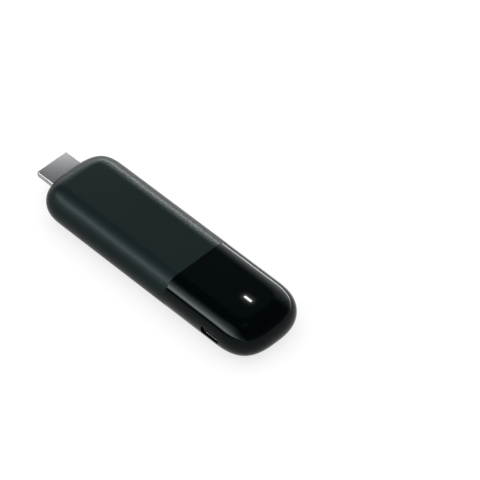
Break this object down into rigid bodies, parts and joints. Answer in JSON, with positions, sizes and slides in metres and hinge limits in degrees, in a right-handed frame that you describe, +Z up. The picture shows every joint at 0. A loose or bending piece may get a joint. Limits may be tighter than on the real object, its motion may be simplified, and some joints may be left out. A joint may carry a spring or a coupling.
{
  "type": "streaming media stick",
  "caption": "Slim rounded stick for a television's video port: matte sleeve, glossy end cap with a light, fixed metal plug at the front and a small power socket in the side.",
  "frame": {"origin": "middle of the overall length and width, on the surface that the underside rests on", "axes": "+X along the stick from the plug to the glossy tip, +Z up through the face with the light, +Y across it, away from the power socket"},
  "size_m": [0.1142, 0.0318, 0.0154],
  "materials": {
    "sleeve_plastic": "fine matte moulding",
    "cap_plastic": "polished moulding",
    "light_plastic": "clear, lit from below",
    "plug_steel": "plated sheet, satin",
    "insulator": "moulded",
    "contact": "gold plated",
    "board": "green solder mask",
    "chassis_plastic": "moulded",
    "can_steel": "tinned sheet",
    "spreader_metal": "die cast, satin",
    "pad_rubber": "soft, matte",
    "foam": "open foam, matte",
    "chip_resin": "moulded resin",
    "coil_ferrite": "sintered",
    "ceramic": "sintered, satin",
    "screw_steel": "zinc plated",
    "socket_steel": "plated sheet"
  },
  "bodies": {
    "root": {"sleeve": "sleeve_plastic", "end_cap": "cap_plastic", "light_guide": "light_plastic", "plug_shell": "plug_steel", "plug_insulator": "insulator", "plug_contacts_upper": "contact", "plug_contacts_lower": "contact", "main_board": "board", "chassis": "chassis_plastic", "board_screws": "screw_steel", "shield_frame_upper": "can_steel", "shield_lid_upper": "can_steel", "shield_frame_lower": "can_steel", "shield_lid_lower": "can_steel", "heat_spreader_upper": "spreader_metal", "heat_spreader_lower": "spreader_metal", "thermal_pad_upper": "pad_rubber", "thermal_pad_lower": "pad_rubber", "thermal_pad_chip": "pad_rubber", "foam_pads_upper": "foam", "foam_pads_lower": "foam", "processor": "chip_resin", "memory_chips": "chip_resin", "storage_chip": "chip_resin", "power_chip": "chip_resin", "power_coils": "coil_ferrite", "radio_module": "can_steel", "crystal": "can_steel", "surge_guards": "chip_resin", "capacitors": "ceramic", "status_lamp": "light_plastic", "antenna_left": "can_steel", "antenna_right": "can_steel", "socket_shell": "socket_steel", "socket_tongue": "insulator", "socket_pins": "contact"}
  },
  "joints": []
}
